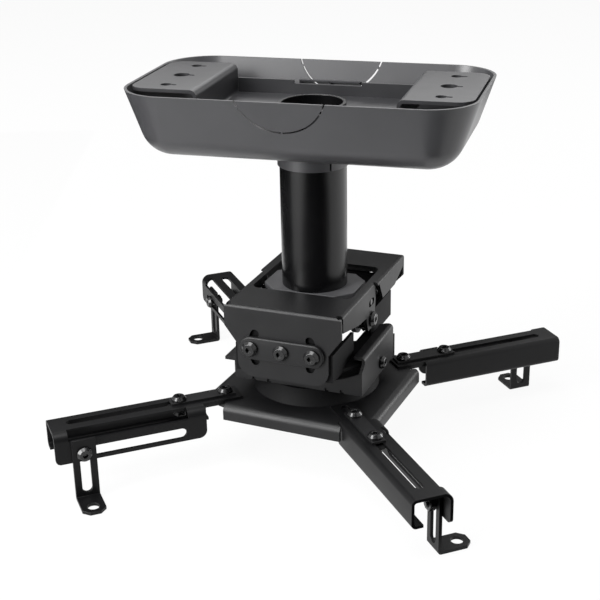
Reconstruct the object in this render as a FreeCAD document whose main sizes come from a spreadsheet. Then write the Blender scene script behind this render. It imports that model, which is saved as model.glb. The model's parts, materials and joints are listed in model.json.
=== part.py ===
import FreeCAD, Part
import math
import os
import Sketcher

# Ceiling mount for a projector, in millimetres and degrees.
# The origin lies on the axis of the pole at the ceiling: +Z is up, +X is to the right
# and +Y is to the back. From the top down there are a folded ceiling plate, a moulded
# cover that slides on the pole, a block that carries the tilt axis, a folded frame that
# tilts on it, a yoke that rolls in the frame, a tray bolted to the yoke, and a hub that
# swivels under the tray and carries four sliding arms with a foot on each.

SIZES = {
    # sheet steel, bends and clearances
    "sheet": 2.5,
    "arm_sheet": 2.2,
    "bend": 2.4,
    "hole_gap": 0.2,
    "running_gap": 0.3,
    # turns in which the mount is set
    "head_turn": -6.0,
    "hub_turn": -8.2,
    # ceiling plate
    "plate_length": 248.0,
    "plate_width": 94.0,
    "plate_depth": 24.0,
    "channel_width": 149.0,
    "plate_bend": 5.0,
    "plate_corner": 12.0,
    "lip_length": 142.0,
    "lip_height": 13.4,
    "lip_bend": 2.0,
    "lip_notch_width": 53.0,
    "lip_notch_depth": 2.8,
    "ceiling_hole": 8.0,
    "ceiling_span_x": 200.0,
    "ceiling_span_y": 65.0,
    "anchor_hole": 12.0,
    "keyhole_slot": 3.0,
    "keyhole_reach": 4.0,
    # moulded ceiling cover
    "cover_length": 256.3,
    "cover_width": 144.7,
    "cover_corner": 36.0,
    "cover_depth": 49.0,
    "cover_taper": 18.6,
    "cover_edge": 24.0,
    "cover_wall": 2.0,
    "collar_length": 12.8,
    "collar_wall": 1.2,
    "collar_slit": 1.6,
    "collar_slit_turn": -46.0,
    "knockout_radius": 33.5,
    "knockout_rise": 10.8,
    "knockout_shift": 4.2,
    "knockout_slit": 1.2,
    "knockout_start": 29.0,
    "knockout_bridge": 2.0,
    "knockout_rim_start": 10.0,
    "knockout_rim_end": 25.0,
    # pole and the block at its foot
    "pole_diameter": 50.0,
    "pole_wall": 2.5,
    "pole_drop": 156.0,
    "pole_stub": 5.8,
    "weld_leg": 3.0,
    "block_length": 73.0,
    "block_width": 50.0,
    "block_plate": 4.0,
    "block_chamfer": 12.0,
    "block_bore": 40.0,
    "ear_steel": 4.0,
    "ear_width": 24.0,
    "tilt_drop": 25.0,
    # tilt bolts, washers and pins
    "tilt_bolt": 8.0,
    "tilt_head": 12.0,
    "tilt_head_height": 3.5,
    "tilt_tail": 7.0,
    "tilt_nut": 13.0,
    "tilt_nut_height": 5.0,
    "tilt_washer": 17.0,
    "tilt_washer_count": 3.0,
    "tilt_pin": 4.8,
    "tilt_pin_rise": 14.0,
    "tilt_slot_half": 14.0,
    # upper frame
    "frame_rise": 27.0,
    "frame_width": 92.0,
    "wing_step": 2.5,
    "frame_step": 8.0,
    "frame_length": 136.0,
    "frame_rear_more": 6.0,
    "opening_length": 80.0,
    "opening_width": 70.0,
    "opening_corner": 6.0,
    "opening_shift": 4.0,
    "relief_hole": 5.0,
    "relief_inset_x": 2.2,
    "relief_inset_y": 3.0,
    "flange_depth": 56.0,
    "flange_shoulder": 17.0,
    "flange_neck": 30.6,
    "flange_width": 72.0,
    "flange_corner": 12.0,
    "cheek_front": 63.5,
    "cheek_front_drop": 13.0,
    "cheek_mid": 30.0,
    "cheek_mid_drop": 20.5,
    "cheek_neck": 12.0,
    "cheek_neck_drop": 22.0,
    "cheek_foot_front": 8.0,
    "cheek_foot_rear": 6.0,
    "cheek_foot_drop": 34.0,
    "cheek_rear": 9.5,
    "cheek_rear_drop": 14.0,
    "wing_front": 10.0,
    "wing_knee": 20.0,
    "wing_heel": 50.0,
    "wing_rear": 71.0,
    "wing_depth": 17.0,
    "wing_rear_depth": 9.0,
    # roll axis: bolts and capsule plates
    "roll_drop": 5.0,
    "roll_radius": 24.3,
    "roll_slot_half": 27.0,
    "roll_bolt": 6.0,
    "roll_head": 12.0,
    "roll_head_height": 4.0,
    "roll_nut": 10.0,
    "roll_nut_height": 5.0,
    "roll_tail": 6.5,
    "capsule_length": 66.6,
    "capsule_width": 18.0,
    "capsule_steel": 3.0,
    "capsule_edge": 1.2,
    "socket": 4.0,
    "socket_depth": 2.2,
    # yoke
    "upright_rise": 14.0,
    "upright_corner": 8.0,
    "yoke_web_drop": 18.5,
    "yoke_waist": 45.0,
    "yoke_side_length": 60.0,
    "yoke_side_depth": 19.5,
    "yoke_rib_reach": 20.0,
    "yoke_rib_rise": 19.5,
    "yoke_window_length": 80.0,
    "yoke_window_width": 62.0,
    "yoke_window_corner": 6.0,
    # tray
    "tray_drop": 41.5,
    "tray_length": 104.0,
    "tray_width": 80.0,
    "tray_rim": 18.5,
    "scoop_radius": 104.0,
    "scoop_floor": 5.5,
    "right_wall_height": 28.5,
    "right_wall_rear": 36.0,
    "right_wall_front": 33.0,
    "right_wall_shoulder": 23.5,
    "right_lip": 9.0,
    "right_lip_inset": 3.0,
    "right_bend": 3.5,
    "right_corner": 6.0,
    "left_wall_height": 16.5,
    "left_lip": 10.5,
    "tray_notch": 3.0,
    "tray_notch_depth": 1.6,
    "tray_notch_near": 23.6,
    "tray_notch_far": 36.0,
    "side_bolt_y": 5.4,
    "side_head": 10.0,
    "side_head_height": 3.5,
    # swivel
    "disc_top": 84.0,
    "disc_bottom": 100.0,
    "disc_height": 11.7,
    "swivel_bolt": 12.0,
    "swivel_head": 18.0,
    "swivel_head_height": 5.0,
    "swivel_nut_height": 7.0,
    "swivel_tail": 9.0,
    # hub plate
    "hub_width": 139.0,
    "hub_flange_length": 96.0,
    "hub_flange_depth": 12.0,
    "hub_bend": 5.5,
    "hub_notch": 75.0,
    "hub_notch_gap": 0.4,
    "ear_reach": 122.0,
    "arm_bolt_near": 76.0,
    "arm_bolt_far": 113.0,
    "arm_bolt": 6.0,
    "arm_bolt_head": 11.5,
    "arm_bolt_head_height": 3.5,
    "arm_bolt_tail": 6.5,
    "strip_sheet": 1.8,
    "strip_width": 11.0,
    "strip_end": 7.0,
    # arms
    "arm_slot_side": 13.0,
    "arm_rail_side": 18.0,
    "arm_left_depth": 22.0,
    "arm_left_foot": 9.0,
    "arm_rail_depth": 24.5,
    "arm_bend": 4.0,
    "arm_rail_length": 116.0,
    "arm_wall_more": 8.0,
    "arm_tongue": 24.0,
    "rail_bend": 7.0,
    "tongue_width": 20.0,
    "arm_slot_width": 6.6,
    "arm_slot_start": 13.0,
    "arm_slot_bridge": 3.0,
    "window_start": 10.5,
    "window_inner_tab": 14.0,
    "window_inset": 7.0,
    "rail_slot_width": 8.0,
    "rail_slot_start": 14.0,
    "rail_slot_inner": 16.0,
    "rail_slot_drop": 17.5,
    "rail_outer_corner": 4.0,
    "rail_inner_corner": 6.0,
    # how far each arm is drawn out from the swivel disc, and where its foot stands on the rail
    "draw_front_left": 15.0,
    "draw_front_right": 2.0,
    "draw_rear_right": 17.0,
    "draw_rear_left": 52.0,
    "foot_front_left": 21.0,
    "foot_front_right": 20.0,
    "foot_rear_right": 20.0,
    "foot_rear_left": 26.0,
    # feet
    "foot_width": 18.0,
    "foot_rise": 11.8,
    "foot_drop": 37.5,
    "foot_slot_width": 7.6,
    "foot_slot_length": 32.0,
    "foot_tab": 25.0,
    "foot_hole": 9.0,
    "foot_hole_out": 16.5,
    "foot_clip": 5.0,
    "foot_screw": 6.0,
    "foot_screw_head": 11.5,
    "foot_screw_head_height": 3.5,
    "foot_screw_tail": 6.5,
}

doc = FreeCAD.newDocument("ProjectorMount")
sheet = doc.addObject("Spreadsheet::Sheet", "Sizes")
for row, (alias, number) in enumerate(SIZES.items(), 1):
    sheet.set("A%d" % row, alias.replace("_", " "))
    sheet.set("B%d" % row, str(number))
    sheet.setAlias("B%d" % row, alias)
doc.recompute()


class Size:
    """A number together with the spreadsheet expression that it comes from."""

    def __init__(self, text, number):
        self.text = text
        self.number = number

    def __add__(self, other):
        other = as_size(other)
        return Size("(%s + %s)" % (self.text, other.text), self.number + other.number)

    def __sub__(self, other):
        other = as_size(other)
        return Size("(%s - %s)" % (self.text, other.text), self.number - other.number)

    def __mul__(self, other):
        other = as_size(other)
        return Size("(%s * %s)" % (self.text, other.text), self.number * other.number)

    def __truediv__(self, other):
        other = as_size(other)
        return Size("(%s / %s)" % (self.text, other.text), self.number / other.number)

    def __neg__(self):
        return Size("(0 - %s)" % self.text, -self.number)


def as_size(item):
    if isinstance(item, Size):
        return item
    return Size("(%r)" % float(item), float(item))


def cosine(angle):
    return Size("cos(%s)" % angle.text, math.cos(math.radians(angle.number)))


def sine(angle):
    return Size("sin(%s)" % angle.text, math.sin(math.radians(angle.number)))


def root(area):
    return Size("sqrt(%s)" % area.text, math.sqrt(area.number))


class Named:
    """Holds every size of the sheet under its own name."""


s = Named()
for alias, number in SIZES.items():
    setattr(s, alias, Size("Sizes." + alias, number))

ZERO = as_size(0)
QUARTER_TURN = as_size(90)
HALF_TURN = as_size(180)
# A round bolt head: its straight side as a share of its height, its flat as a share of its width.
HEAD_SIDE = 0.4
HEAD_FLAT = 0.36
FLAT = "XY_Plane"
FRONT = "XZ_Plane"
SIDE = "YZ_Plane"
NORMAL = {FLAT: 1, FRONT: -1, SIDE: 1}


def bind(item, name, value):
    item.setExpression(name, as_size(value).text)


def placed(item, x=ZERO, y=ZERO, z=ZERO, axis=(0, 0, 1), turn=ZERO):
    text = "create(<<placement>>; create(<<vector>>; %s; %s; %s); " % (x.text, y.text, z.text)
    text += "create(<<rotation>>; create(<<vector>>; %d; %d; %d); %s))" % (axis + (turn.text,))
    item.setExpression("Placement", text)


def new_body(label):
    body = doc.addObject("PartDesign::Body", label)
    body.Label = label
    return body


def sketch_on(body, role, level=ZERO):
    # A sketch on one of the body's planes, moved along the matching axis to a level.
    plane = [item for item in body.Origin.OriginFeatures if item.Role == role][0]
    sketch = body.newObject("Sketcher::SketchObject", body.Name + "_sketch")
    sketch.AttachmentSupport = [(plane, "")]
    sketch.MapMode = "FlatFace"
    bind(sketch, "AttachmentOffset.Base.z", level * NORMAL[role])
    return sketch


def constrain(sketch, *parts):
    return sketch.addConstraint(Sketcher.Constraint(*parts))


def dimension(sketch, size, *parts):
    row = constrain(sketch, *parts, size.number)
    sketch.setExpression("Constraints[%d]" % row, size.text)


def pin(sketch, line, end, x, y):
    # Holds one point of a sketch at its distances from the sketch's origin.
    for kind, axis, size in (("DistanceX", -2, as_size(x)), ("DistanceY", -1, as_size(y))):
        if size.number == 0:
            constrain(sketch, "PointOnObject", line, end, axis)
        else:
            dimension(sketch, size, kind, -1, 1, line, end)


def point(x, y):
    return FreeCAD.Vector(as_size(x).number, as_size(y).number, 0)


def polygon(sketch, corners):
    first = sketch.GeometryCount
    count = len(corners)
    for here in range(count):
        start = point(*corners[here])
        end = point(*corners[(here + 1) % count])
        sketch.addGeometry(Part.LineSegment(start, end), False)
    for here in range(count):
        constrain(sketch, "Coincident", first + here, 2, first + (here + 1) % count, 1)
        pin(sketch, first + here, 1, *corners[here])


def rectangle(sketch, left, right, low, high):
    polygon(sketch, [(left, low), (right, low), (right, high), (left, high)])


def circle(sketch, x, y, radius):
    made = sketch.addGeometry(
        Part.Circle(point(x, y), FreeCAD.Vector(0, 0, 1), radius.number), False)
    pin(sketch, made, 3, x, y)
    dimension(sketch, radius, "Radius", made)


def arc(sketch, x, y, radius, start, end):
    whole = Part.Circle(point(x, y), FreeCAD.Vector(0, 0, 1), radius.number)
    return sketch.addGeometry(Part.ArcOfCircle(whole, start, end), False)


def slot(sketch, x1, y1, x2, y2, radius):
    # A straight slot with round ends about the two given centres.
    start = point(x1, y1)
    end = point(x2, y2)
    heading = math.atan2(end.y - start.y, end.x - start.x)
    quarter = math.pi / 2
    tail = arc(sketch, x1, y1, radius, heading + quarter, heading + 3 * quarter)
    head = arc(sketch, x2, y2, radius, heading - quarter, heading + quarter)
    across = FreeCAD.Vector(-math.sin(heading), math.cos(heading), 0) * radius.number
    lower = sketch.addGeometry(Part.LineSegment(start - across, end - across), False)
    upper = sketch.addGeometry(Part.LineSegment(end + across, start + across), False)
    constrain(sketch, "Tangent", tail, 2, lower, 1)
    constrain(sketch, "Tangent", lower, 2, head, 1)
    constrain(sketch, "Tangent", head, 2, upper, 1)
    constrain(sketch, "Tangent", upper, 2, tail, 1)
    constrain(sketch, "Equal", tail, head)
    pin(sketch, tail, 3, x1, y1)
    pin(sketch, head, 3, x2, y2)
    dimension(sketch, radius, "Radius", tail)


def arc_slot(sketch, x, y, radius, half_width, start, end):
    # A curved slot with round ends, from one angle about its centre to another.
    first = math.radians(start.number)
    last = math.radians(end.number)
    outer = arc(sketch, x, y, radius + half_width, first, last)
    inner = arc(sketch, x, y, radius - half_width, first, last)
    caps = []
    for angle, lead in ((start, first - math.pi), (end, last)):
        cap_x = radius * cosine(angle) + x
        cap_y = radius * sine(angle) + y
        caps.append((arc(sketch, cap_x, cap_y, half_width, lead, lead + math.pi), cap_x, cap_y))
    tail = caps[0][0]
    head = caps[1][0]
    constrain(sketch, "Tangent", tail, 2, outer, 1)
    constrain(sketch, "Tangent", outer, 2, head, 1)
    constrain(sketch, "Tangent", head, 2, inner, 2)
    constrain(sketch, "Tangent", inner, 1, tail, 1)
    pin(sketch, inner, 3, x, y)
    constrain(sketch, "Coincident", outer, 3, inner, 3)
    dimension(sketch, radius - half_width, "Radius", inner)
    dimension(sketch, radius + half_width, "Radius", outer)
    for (cap, cap_x, cap_y), angle in zip(caps, (first, last)):
        if abs(math.sin(angle)) > abs(math.cos(angle)):
            dimension(sketch, as_size(cap_x), "DistanceX", -1, 1, cap, 3)
        else:
            dimension(sketch, as_size(cap_y), "DistanceY", -1, 1, cap, 3)


def hexagon(sketch, across):
    corner = across / root(as_size(3))
    half = across / 2
    polygon(sketch, [(corner, 0), (corner / 2, half), (-corner / 2, half),
                     (-corner, 0), (-corner / 2, -half), (corner / 2, -half)])


def rounded_rectangle(sketch, half_x, half_y, radius, shift=None):
    # A rectangle with round corners about the origin, or shifted along the second axis.
    quarter = math.pi / 2
    inner_x = half_x - radius
    upper = half_y - radius
    lower = radius - half_y
    if shift is not None:
        upper = upper + shift
        lower = lower + shift
    centres = [(inner_x, upper), (-inner_x, upper), (-inner_x, lower), (inner_x, lower)]
    arcs = []
    for turn, (x, y) in enumerate(centres):
        arcs.append(arc(sketch, x, y, radius, turn * quarter, (turn + 1) * quarter))
    for turn in range(4):
        here = arcs[turn]
        after = arcs[(turn + 1) % 4]
        start = point(*centres[turn])
        end = point(*centres[(turn + 1) % 4])
        angle = (turn + 1) * quarter
        out = FreeCAD.Vector(math.cos(angle), math.sin(angle), 0) * radius.number
        line = sketch.addGeometry(Part.LineSegment(start + out, end + out), False)
        constrain(sketch, "Tangent", here, 2, line, 1)
        constrain(sketch, "Tangent", line, 2, after, 1)
    for turn in range(4):
        pin(sketch, arcs[turn], 3, *centres[turn])
    dimension(sketch, radius, "Radius", arcs[0])


def pad(body, sketch, length, towards=1, both=False, taper=None):
    # Adds the sketch's outline, towards +1 or -1 along the axis that the sketch faces.
    feature = body.newObject("PartDesign::Pad", body.Name + "_pad")
    feature.Profile = sketch
    feature.SideType = "Symmetric" if both else "One side"
    role = sketch.AttachmentSupport[0][0].Role
    feature.Reversed = towards * NORMAL[role] < 0
    bind(feature, "Length", length)
    if taper is not None:
        bind(feature, "TaperAngle", taper)
    body.Tip = feature
    return feature


def pocket(body, sketch, length=None, towards=-1, taper=None):
    # Cuts the sketch's outline, right through both ways or to a depth one way.
    doc.recompute()
    before = body.Shape.Volume
    feature = body.newObject("PartDesign::Pocket", body.Name + "_cut")
    feature.Profile = sketch
    if length is None:
        feature.Type = "ThroughAll"
        feature.SideType = "Symmetric"
    else:
        feature.Type = "Length"
        feature.SideType = "One side"
        role = sketch.AttachmentSupport[0][0].Role
        feature.Reversed = towards * NORMAL[role] > 0
        bind(feature, "Length", length)
    if taper is not None:
        bind(feature, "TaperAngle", taper)
    body.Tip = feature
    doc.recompute()
    if not body.Shape.Volume < before:
        raise ValueError("a cut in %s removes nothing" % body.Label)
    return feature


def revolve(body, sketch):
    feature = body.newObject("PartDesign::Revolution", body.Name + "_turned")
    feature.Profile = sketch
    feature.ReferenceAxis = (sketch, ["V_Axis"])
    feature.Angle = 360
    body.Tip = feature
    return feature


def lies_at(edge, place):
    middle = edge.valueAt((edge.FirstParameter + edge.LastParameter) / 2)
    spots = [corner.Point for corner in edge.Vertexes] + [middle]
    for name, size in place.items():
        wanted = as_size(size).number
        if any(abs(getattr(spot, name) - wanted) > 0.001 for spot in spots):
            return False
    return True


def round_edges(body, radius, *places):
    # Rounds the edges that lie at the given coordinates along their whole length.
    doc.recompute()
    base = body.Tip
    names = []
    for number, edge in enumerate(base.Shape.Edges, 1):
        if any(lies_at(edge, place) for place in places):
            names.append("Edge%d" % number)
    if not names:
        raise ValueError("no edge to round in %s" % body.Label)
    feature = body.newObject("PartDesign::Fillet", body.Name + "_round")
    feature.Base = (base, names)
    bind(feature, "Radius", radius)
    body.Tip = feature
    return feature


def copies(label, pattern, places, turn=ZERO):
    # One node made of copies of a pattern piece, each with a place of its own.
    links = []
    for place in places:
        link = doc.addObject("App::Link", label + "_copy")
        link.LinkedObject = pattern
        placed(link, **place)
        links.append(link)
    group = doc.addObject("Part::Compound", label)
    group.Label = label
    group.Links = links
    placed(group, turn=turn)
    return group


def button_bolt(label, shank, head, height, length):
    # A round-headed socket bolt: the head stands up from its seat, the shank hangs down.
    body = new_body(label)
    outline = sketch_on(body, FRONT)
    polygon(outline, [(0, -length), (shank / 2, -length), (shank / 2, 0), (head / 2, 0),
                      (head / 2, height * HEAD_SIDE), (head * HEAD_FLAT, height), (0, height)])
    revolve(body, outline)
    recess = sketch_on(body, FLAT, height)
    hexagon(recess, s.socket)
    pocket(body, recess, s.socket_depth)
    return body


def hex_nut(label, across, bore, height):
    # A nut that hangs down from its seat.
    body = new_body(label)
    outline = sketch_on(body, FLAT)
    hexagon(outline, across)
    circle(outline, 0, 0, bore / 2)
    pad(body, outline, height, towards=-1)
    return body


def washer(label, outer, bore, height):
    body = new_body(label)
    outline = sketch_on(body, FLAT)
    circle(outline, 0, 0, outer / 2)
    circle(outline, 0, 0, bore / 2)
    pad(body, outline, height)
    return body


# Levels below the ceiling and distances from the axis that several pieces share.
plate_under = -s.plate_depth
pole_foot = -s.pole_drop
pole_radius = s.pole_diameter / 2
tilt_level = pole_foot - s.tilt_drop
frame_top = tilt_level + s.frame_rise
frame_under = frame_top - s.sheet
frame_side = s.frame_width / 2
frame_end = s.frame_length / 2
frame_rear = frame_end + s.frame_rear_more
flange_low = frame_top - s.flange_depth
roll_level = tilt_level - s.roll_drop
upright_face = frame_end - s.sheet
upright_rear = frame_rear - s.sheet
yoke_web_top = roll_level - s.yoke_web_drop
yoke_web_under = yoke_web_top - s.sheet
tray_under = roll_level - s.tray_drop
tray_floor = tray_under + s.sheet
tray_side = s.tray_length / 2
tray_end = s.tray_width / 2
hub_top = tray_under - s.disc_height
hub_under = hub_top - s.sheet
arm_top = hub_top + s.arm_sheet
strip_top = arm_top + s.strip_sheet
screw_level = arm_top - s.rail_slot_drop
nodes = []

# Ceiling plate: a hat-shaped channel of sheet steel with four screw holes, two larger
# anchor holes, and a low lip folded up at the front and back of its floor.
plate = new_body("ceiling_plate")
nodes.append(plate)
channel = s.channel_width / 2
channel_in = channel - s.sheet
plate_half = s.plate_length / 2
plate_edge = s.plate_width / 2
section = sketch_on(plate, FRONT)
polygon(section, [
    (-plate_half, 0), (-channel_in, 0), (-channel_in, plate_under + s.sheet),
    (channel_in, plate_under + s.sheet), (channel_in, 0), (plate_half, 0),
    (plate_half, -s.sheet), (channel, -s.sheet), (channel, plate_under),
    (-channel, plate_under), (-channel, -s.sheet), (-plate_half, -s.sheet)])
pad(plate, section, s.plate_width, both=True)
round_edges(plate, s.plate_bend,
            {"x": channel_in, "z": 0}, {"x": -channel_in, "z": 0},
            {"x": channel, "z": plate_under}, {"x": -channel, "z": plate_under})
round_edges(plate, s.plate_bend - s.sheet,
            {"x": channel, "z": -s.sheet}, {"x": -channel, "z": -s.sheet},
            {"x": channel_in, "z": plate_under + s.sheet},
            {"x": -channel_in, "z": plate_under + s.sheet})
round_edges(plate, s.plate_corner,
            {"x": plate_half, "y": plate_edge}, {"x": plate_half, "y": -plate_edge},
            {"x": -plate_half, "y": plate_edge}, {"x": -plate_half, "y": -plate_edge})
lip_top = plate_under + s.lip_height
notch = s.lip_notch_width / 2
for end in (-1, 1):
    lip = sketch_on(plate, FRONT, plate_edge * end)
    polygon(lip, [
        (-s.lip_length / 2, plate_under), (s.lip_length / 2, plate_under),
        (s.lip_length / 2, lip_top), (notch, lip_top), (notch, lip_top - s.lip_notch_depth),
        (-notch, lip_top - s.lip_notch_depth), (-notch, lip_top), (-s.lip_length / 2, lip_top)])
    pad(plate, lip, s.sheet, towards=-end)
round_edges(plate, s.lip_bend,
            {"y": plate_edge, "z": plate_under}, {"y": -plate_edge, "z": plate_under})
holes = sketch_on(plate, FLAT)
circle(holes, 0, 0, pole_radius + s.hole_gap)
for across in (-1, 1):
    circle(holes, s.ceiling_span_x / 2 * across, 0, s.anchor_hole / 2)
    for along in (-1, 1):
        circle(holes, s.ceiling_span_x / 2 * across, s.ceiling_span_y / 2 * along, s.ceiling_hole / 2)
pocket(plate, holes)
keyholes = sketch_on(plate, FLAT)
narrow = s.keyhole_slot / 2
for across in (-1, 1):
    for along, hole in ((-1, s.ceiling_hole), (0, s.anchor_hole), (1, s.ceiling_hole)):
        hole_x = s.ceiling_span_x / 2 * across
        hole_y = s.ceiling_span_y / 2 * along if along else ZERO
        slot(keyholes, hole_x, hole_y, hole_x + hole / 2 + s.keyhole_reach - narrow, hole_y, narrow)
pocket(plate, keyholes)

# Moulded cover: a tapered tray with a rounded lower edge and a thin split collar that
# grips the pole. Each long wall has a half-round knock-out held by small bridges.


def moulding(label, skin, depth, edge):
    # The cover's outer form, drawn in by the thickness of a skin.
    body = new_body(label)
    rim = sketch_on(body, FLAT)
    rounded_rectangle(rim, s.cover_length / 2 - skin, s.cover_width / 2 - skin, s.cover_corner - skin)
    pad(body, rim, depth, towards=-1, taper=-s.cover_taper)
    round_edges(body, edge, {"z": -depth})
    return body


cover = moulding("ceiling_cover", ZERO, s.cover_depth, s.cover_edge)
nodes.append(cover)
core = moulding("cover_core", s.cover_wall / cosine(s.cover_taper), s.cover_depth - s.cover_wall,
                s.cover_edge - s.cover_wall)
doc.recompute()
hollow = cover.newObject("PartDesign::Boolean", "cover_hollow")
hollow.Type = "Cut"
hollow.setObjects([core])
cover.Tip = hollow
collar_bore = pole_radius + s.running_gap
collar = sketch_on(cover, FLAT, s.cover_wall - s.cover_depth)
circle(collar, 0, 0, collar_bore + s.collar_wall)
pad(cover, collar, s.collar_length + s.cover_wall, towards=-1)
bore = sketch_on(cover, FLAT)
circle(bore, 0, 0, collar_bore)
pocket(cover, bore)
slit = sketch_on(cover, FLAT, -s.cover_depth)
slit_reach = collar_bore + s.collar_wall * 2
slit_half = s.collar_slit / 2
slit_x = cosine(s.collar_slit_turn)
slit_y = sine(s.collar_slit_turn)
corners = []
for out, side in ((-1, -1), (1, -1), (1, 1), (-1, 1)):
    corners.append((slit_reach * out * slit_x - slit_half * side * slit_y,
                    slit_reach * out * slit_y + slit_half * side * slit_x))
polygon(slit, corners)
pocket(cover, slit, s.collar_length)
down = -QUARTER_TURN
for end in (-1, 1):
    knock = sketch_on(cover, FRONT, s.cover_width / 2 * end)
    centre_x = s.knockout_shift * end
    arc_slot(knock, centre_x, s.knockout_rise, s.knockout_radius, s.knockout_slit / 2,
             down + s.knockout_bridge, -s.knockout_start)
    arc_slot(knock, centre_x, s.knockout_rise, s.knockout_radius, s.knockout_slit / 2,
             down * 2 + s.knockout_start, down - s.knockout_bridge)
    arc_slot(knock, centre_x, s.knockout_rise, s.knockout_radius, s.knockout_slit / 2,
             -s.knockout_rim_end, -s.knockout_rim_start)
    arc_slot(knock, centre_x, s.knockout_rise, s.knockout_radius, s.knockout_slit / 2,
             down * 2 + s.knockout_rim_start, down * 2 + s.knockout_rim_end)
    pocket(cover, knock, s.cover_depth / 2, towards=-end)

# Pole: a welded tube that passes through the floor of the plate.
pole = new_body("pole")
nodes.append(pole)
wall = sketch_on(pole, FRONT)
pole_bore = pole_radius - s.pole_wall
polygon(wall, [
    (pole_bore, pole_foot), (pole_radius, pole_foot), (pole_radius, plate_under - s.weld_leg),
    (pole_radius + s.weld_leg, plate_under), (pole_radius, plate_under),
    (pole_radius, plate_under + s.sheet + s.pole_stub), (pole_bore, plate_under + s.sheet + s.pole_stub)])
revolve(pole, wall)

# Block at the foot of the pole: a chamfered plate with an ear on each side.
block = new_body("pole_block")
nodes.append(block)
block_half = s.block_length / 2
block_end = s.block_width / 2
ear_in = block_half - s.ear_steel
cap = sketch_on(block, FLAT, pole_foot)
clip = s.block_chamfer
polygon(cap, [
    (-block_half, clip - block_end), (clip - block_half, -block_end), (block_half - clip, -block_end),
    (block_half, clip - block_end), (block_half, block_end - clip), (block_half - clip, block_end),
    (clip - block_half, block_end), (-block_half, block_end - clip)])
circle(cap, 0, 0, s.block_bore / 2)
pad(block, cap, s.block_plate, towards=-1)
for side in (-1, 1):
    ear = sketch_on(block, SIDE, block_half * side)
    rectangle(ear, -s.ear_width / 2, s.ear_width / 2, tilt_level, pole_foot - s.block_plate)
    pad(block, ear, s.ear_steel, towards=-side)
    end_round = sketch_on(block, SIDE, block_half * side)
    circle(end_round, 0, tilt_level, s.ear_width / 2)
    pad(block, end_round, s.ear_steel, towards=-side)
pivot = sketch_on(block, SIDE)
circle(pivot, 0, tilt_level, s.tilt_bolt / 2 + s.hole_gap)
pocket(block, pivot)
placed(block, turn=s.head_turn)

# Upper frame: one folded sheet with a window for the pole, a shaped flange at the front
# and back, and cheeks that hang on the tilt bolts.
frame = new_body("upper_frame")
nodes.append(frame)
rear_side = frame_side + s.wing_step
flange_half = s.flange_width / 2
for end, wide, reach in ((-1, frame_side, frame_end), (1, rear_side, frame_rear)):
    top = sketch_on(frame, FLAT, frame_top)
    rectangle(top, -wide, wide, s.frame_step, reach * end)
    pad(frame, top, s.sheet, towards=-1)
    flange = sketch_on(frame, FRONT, reach * end)
    polygon(flange, [
        (-wide, frame_top), (-wide, frame_top - s.flange_shoulder),
        (-flange_half, frame_top - s.flange_neck), (-flange_half, flange_low),
        (flange_half, flange_low), (flange_half, frame_top - s.flange_neck),
        (wide, frame_top - s.flange_shoulder), (wide, frame_top)])
    pad(frame, flange, s.sheet, towards=-end)
    for side in (-1, 1):
        cheek = sketch_on(frame, SIDE, wide * side)
        if end < 0:
            polygon(cheek, [
                (-s.cheek_front, frame_top), (-s.cheek_front, frame_top - s.cheek_front_drop),
                (-s.cheek_mid, frame_top - s.cheek_mid_drop),
                (-s.cheek_neck, frame_top - s.cheek_neck_drop),
                (-s.cheek_foot_front, frame_top - s.cheek_foot_drop),
                (s.cheek_foot_rear, frame_top - s.cheek_foot_drop),
                (s.cheek_rear, frame_top - s.cheek_rear_drop), (s.frame_step, frame_top)])
        else:
            polygon(cheek, [
                (s.wing_front, frame_top), (s.wing_knee, frame_top - s.wing_depth),
                (s.wing_heel, frame_top - s.wing_depth),
                (s.wing_rear, frame_top - s.wing_rear_depth), (s.wing_rear, frame_top)])
        pad(frame, cheek, s.sheet, towards=-side)
    round_edges(frame, s.bend, {"y": reach * end, "z": frame_top},
                {"x": wide, "z": frame_top}, {"x": -wide, "z": frame_top})
round_edges(frame, s.flange_corner,
            {"x": flange_half, "z": flange_low}, {"x": -flange_half, "z": flange_low})
window = sketch_on(frame, FLAT, frame_top)
rounded_rectangle(window, s.opening_length / 2, s.opening_width / 2, s.opening_corner, s.opening_shift)
for side in (-1, 1):
    circle(window, (frame_side - s.relief_inset_x) * side, s.relief_inset_y - frame_end,
           s.relief_hole / 2)
pocket(frame, window, s.sheet * 2)
roll_slots = sketch_on(frame, FRONT)
roll_slot = s.roll_bolt / 2 + s.running_gap
circle(roll_slots, 0, roll_level, roll_slot)
arc_slot(roll_slots, 0, roll_level, s.roll_radius, roll_slot, -s.roll_slot_half, s.roll_slot_half)
arc_slot(roll_slots, 0, roll_level, s.roll_radius, roll_slot,
         HALF_TURN - s.roll_slot_half, HALF_TURN + s.roll_slot_half)
pocket(frame, roll_slots)
tilt_slots = sketch_on(frame, SIDE)
circle(tilt_slots, 0, tilt_level, s.tilt_bolt / 2 + s.running_gap)
arc_slot(tilt_slots, 0, tilt_level, s.tilt_pin_rise, s.tilt_pin / 2 + s.running_gap,
         QUARTER_TURN - s.tilt_slot_half, QUARTER_TURN + s.tilt_slot_half)
pocket(frame, tilt_slots)
placed(frame, turn=s.head_turn)

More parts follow.
